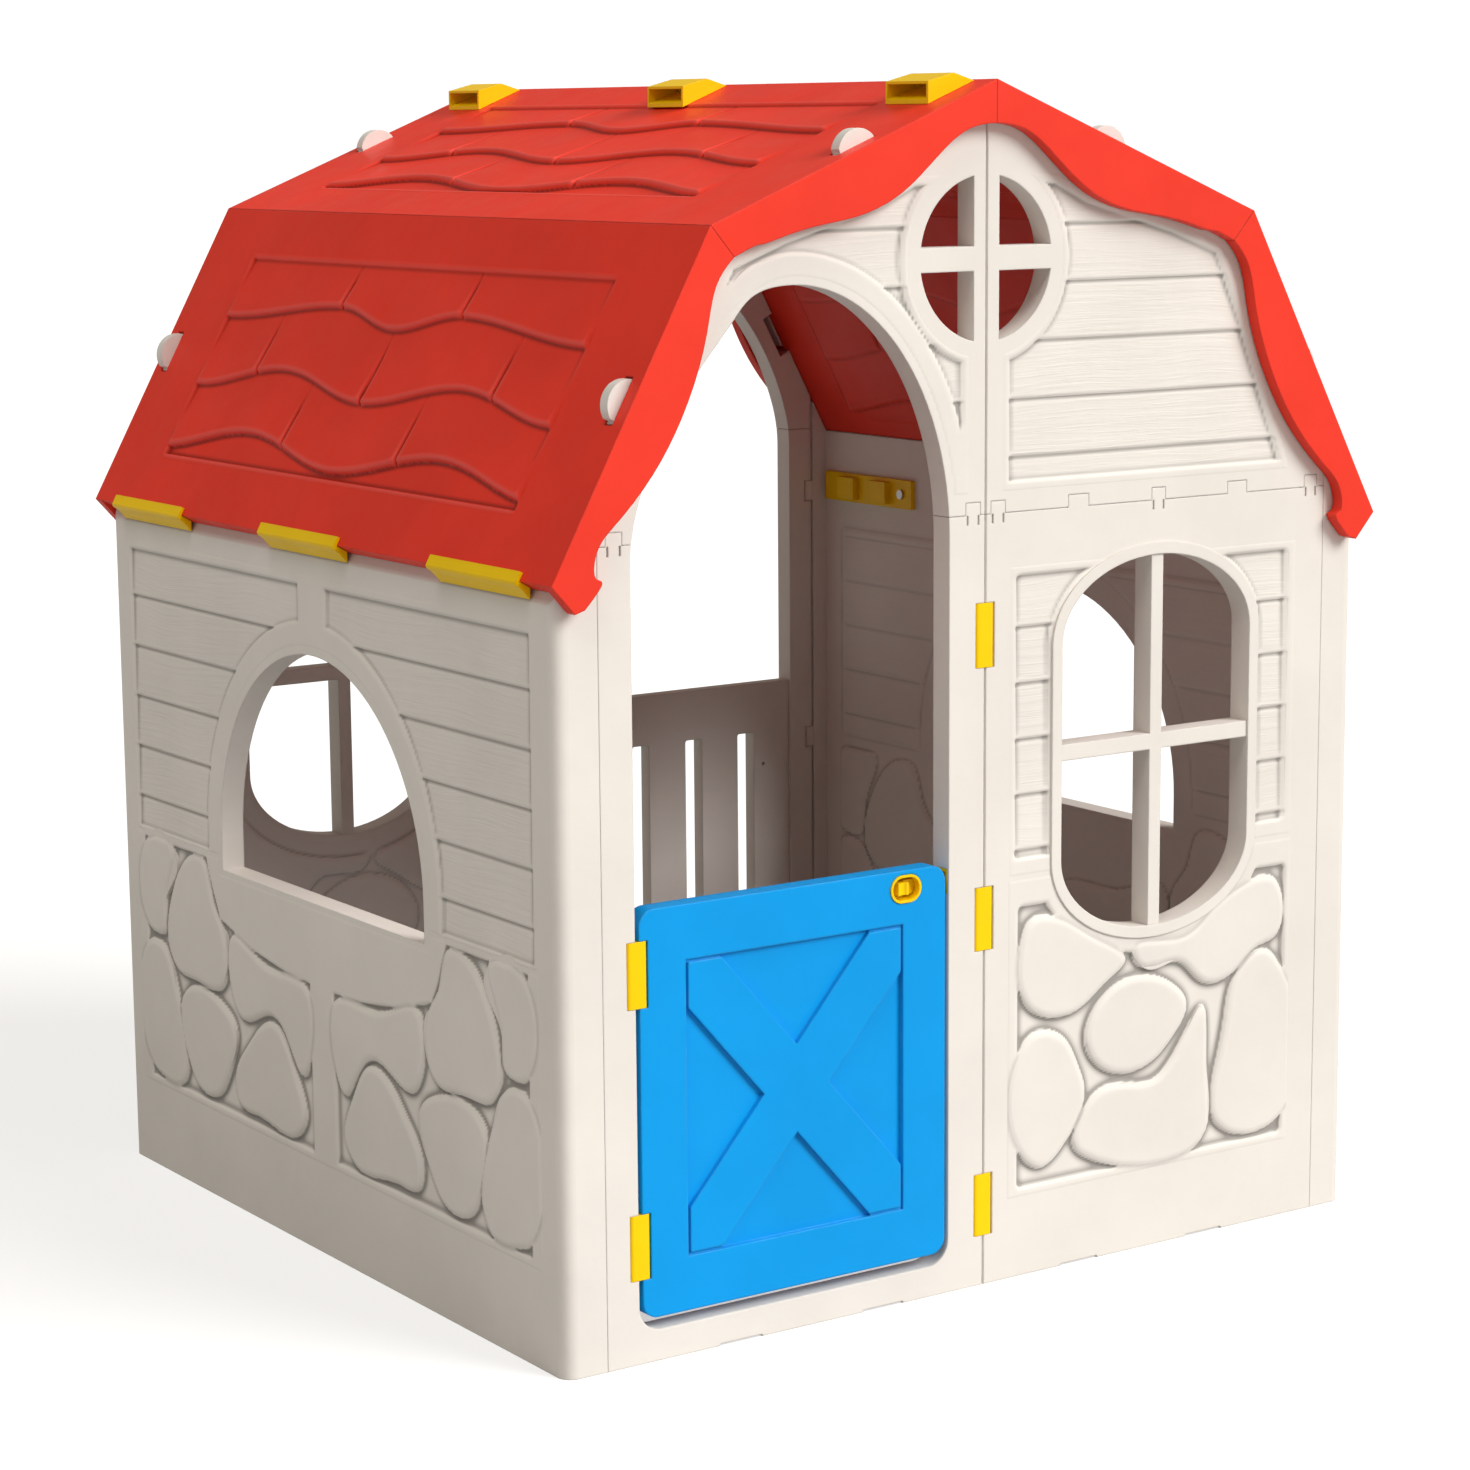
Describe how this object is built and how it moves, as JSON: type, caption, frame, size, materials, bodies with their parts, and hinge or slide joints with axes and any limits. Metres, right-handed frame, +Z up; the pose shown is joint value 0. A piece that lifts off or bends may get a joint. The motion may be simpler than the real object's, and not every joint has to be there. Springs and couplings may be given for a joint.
{
  "type": "playhouse",
  "caption": "Foldable plastic cottage playhouse with a gambrel roof, arched doorway with a half door, barred windows and hinged walls.",
  "frame": {"origin": "on the floor at the centre of the bounding box", "axes": "+Z up, the front with the half door faces -Y, +X is to the right seen from the front"},
  "size_m": [0.992, 0.946, 1.171],
  "materials": {
    "wall_cream": "lightly grained moulded polyethylene",
    "roof_red": "lightly grained moulded polyethylene",
    "door_blue": "smooth moulded polyethylene",
    "fitting_yellow": "smooth injection moulded",
    "lock_white": "smooth injection moulded",
    "pin_steel": "zinc plated"
  },
  "bodies": {
    "left_side": {"left_side_wall": "wall_cream", "eave_brackets_left": "fitting_yellow", "bracket_screws_left": "pin_steel"},
    "front_left": {"front_door_panel": "wall_cream", "front_left_gable": "wall_cream", "corner_rod_front_left": "pin_steel", "latch_keeper": "fitting_yellow"},
    "front_links": {"front_fold_hinge_low": "fitting_yellow", "front_fold_hinge_middle": "fitting_yellow", "front_fold_hinge_high": "fitting_yellow"},
    "front_right": {"front_window_panel": "wall_cream", "front_window_bars": "wall_cream", "front_right_gable": "wall_cream", "corner_rod_front_right": "pin_steel"},
    "right_side": {"right_side_wall": "wall_cream", "eave_brackets_right": "fitting_yellow", "bracket_screws_right": "pin_steel"},
    "back_left": {"back_window_panel": "wall_cream", "back_window_bars": "wall_cream", "back_left_gable": "wall_cream", "corner_rod_back_left": "pin_steel"},
    "back_links": {"back_fold_hinge_low": "fitting_yellow", "back_fold_hinge_middle": "fitting_yellow", "back_fold_hinge_high": "fitting_yellow"},
    "back_right": {"back_fence_panel": "wall_cream", "back_right_gable": "wall_cream", "corner_rod_back_right": "pin_steel", "back_fence": "wall_cream"},
    "door_links": {"door_hinge_low": "fitting_yellow", "door_hinge_high": "fitting_yellow"},
    "door": {"half_door": "door_blue", "latch_cup": "fitting_yellow"},
    "latch": {"latch_slider": "fitting_yellow"},
    "roof": {"roof_left_upper": "roof_red", "roof_left_lower": "roof_red", "roof_right_upper": "roof_red", "roof_right_lower": "roof_red", "eave_clip_left_back": "fitting_yellow", "eave_clip_left_front": "fitting_yellow", "eave_clip_left_middle": "fitting_yellow", "eave_clip_right_back": "fitting_yellow", "eave_clip_right_front": "fitting_yellow", "eave_clip_right_middle": "fitting_yellow", "ridge_clip_back": "fitting_yellow", "ridge_clip_front": "fitting_yellow", "ridge_clip_middle": "fitting_yellow"},
    "lock_back_left_lower": {"lock_back_left_lower": "lock_white"},
    "lock_back_left_upper": {"lock_back_left_upper": "lock_white"},
    "lock_back_right_lower": {"lock_back_right_lower": "lock_white"},
    "lock_back_right_upper": {"lock_back_right_upper": "lock_white"},
    "lock_front_left_lower": {"lock_front_left_lower": "lock_white"},
    "lock_front_left_upper": {"lock_front_left_upper": "lock_white"},
    "lock_front_right_lower": {"lock_front_right_lower": "lock_white"},
    "lock_front_right_upper": {"lock_front_right_upper": "lock_white"}
  },
  "joints": [
    {"name": "house_fold", "type": "hinge", "parent": "front_links", "child": "front_left", "pos_m": [-0.007, -0.4544, 0], "axis": [0, 0, 1], "range_deg": [0, 86]},
    {"name": "front_right_turn", "type": "hinge", "parent": "front_links", "child": "front_right", "pos_m": [0.007, -0.4544, 0], "axis": [0, 0, 1], "range_deg": [-87, 0]},
    {"name": "left_side_turn", "type": "hinge", "parent": "front_left", "child": "left_side", "pos_m": [-0.429, -0.439, 0], "axis": [0, 0, 1], "range_deg": [-87, 0]},
    {"name": "right_side_turn", "type": "hinge", "parent": "front_right", "child": "right_side", "pos_m": [0.429, -0.439, 0], "axis": [0, 0, 1], "range_deg": [0, 87]},
    {"name": "back_left_turn", "type": "hinge", "parent": "left_side", "child": "back_left", "pos_m": [-0.429, 0.439, 0], "axis": [0, 0, 1], "range_deg": [-87, 0]},
    {"name": "back_link_turn", "type": "hinge", "parent": "back_left", "child": "back_links", "pos_m": [-0.007, 0.4544, 0], "axis": [0, 0, 1], "range_deg": [0, 87]},
    {"name": "back_right_turn", "type": "hinge", "parent": "right_side", "child": "back_right", "pos_m": [0.429, 0.439, 0], "axis": [0, 0, 1], "range_deg": [0, 87]},
    {"name": "roof_lift", "type": "slide", "parent": "left_side", "child": "roof", "axis": [0, 0, 1], "range_m": [0, 0.5]},
    {"name": "door_swing", "type": "hinge", "parent": "front_left", "child": "door_links", "pos_m": [-0.40475, -0.4544, 0], "axis": [0, 0, 1], "range_deg": [-52, 0]},
    {"name": "door_leaf_turn", "type": "hinge", "parent": "door_links", "child": "door", "pos_m": [-0.39075, -0.4544, 0], "axis": [0, 0, 1], "range_deg": [-53, 0]},
    {"name": "latch_slide", "type": "slide", "parent": "door", "child": "latch", "axis": [1, 0, 0], "range_m": [0, 0.008]},
    {"name": "lock_back_left_lower_turn", "type": "hinge", "parent": "roof", "child": "lock_back_left_lower", "pos_m": [-0.39765, 0.4505, 0.88256], "axis": [0, 1, 0], "range_deg": [0, 180]},
    {"name": "lock_back_left_upper_turn", "type": "hinge", "parent": "roof", "child": "lock_back_left_upper", "pos_m": [-0.14665, 0.4505, 1.09834], "axis": [0, 1, 0], "range_deg": [0, 180]},
    {"name": "lock_back_right_lower_turn", "type": "hinge", "parent": "roof", "child": "lock_back_right_lower", "pos_m": [0.39765, 0.4505, 0.88256], "axis": [0, 1, 0], "range_deg": [0, 180]},
    {"name": "lock_back_right_upper_turn", "type": "hinge", "parent": "roof", "child": "lock_back_right_upper", "pos_m": [0.14665, 0.4505, 1.09834], "axis": [0, 1, 0], "range_deg": [0, 180]},
    {"name": "lock_front_left_lower_turn", "type": "hinge", "parent": "roof", "child": "lock_front_left_lower", "pos_m": [-0.39765, -0.4505, 0.88256], "axis": [0, 1, 0], "range_deg": [0, 180]},
    {"name": "lock_front_left_upper_turn", "type": "hinge", "parent": "roof", "child": "lock_front_left_upper", "pos_m": [-0.14665, -0.4505, 1.09834], "axis": [0, 1, 0], "range_deg": [0, 180]},
    {"name": "lock_front_right_lower_turn", "type": "hinge", "parent": "roof", "child": "lock_front_right_lower", "pos_m": [0.39765, -0.4505, 0.88256], "axis": [0, 1, 0], "range_deg": [0, 180]},
    {"name": "lock_front_right_upper_turn", "type": "hinge", "parent": "roof", "child": "lock_front_right_upper", "pos_m": [0.14665, -0.4505, 1.09834], "axis": [0, 1, 0], "range_deg": [0, 180]}
  ],
  "couplings": [
    {"joint": "front_right_turn", "follows": "house_fold", "ratio": -1},
    {"joint": "left_side_turn", "follows": "house_fold", "ratio": -1},
    {"joint": "right_side_turn", "follows": "house_fold", "ratio": 1},
    {"joint": "back_left_turn", "follows": "house_fold", "ratio": -1},
    {"joint": "back_link_turn", "follows": "house_fold", "ratio": 1},
    {"joint": "back_right_turn", "follows": "house_fold", "ratio": 1},
    {"joint": "roof_lift", "follows": "house_fold", "m_per_rad": 0.32},
    {"joint": "door_leaf_turn", "follows": "door_swing", "ratio": 1}
  ]
}
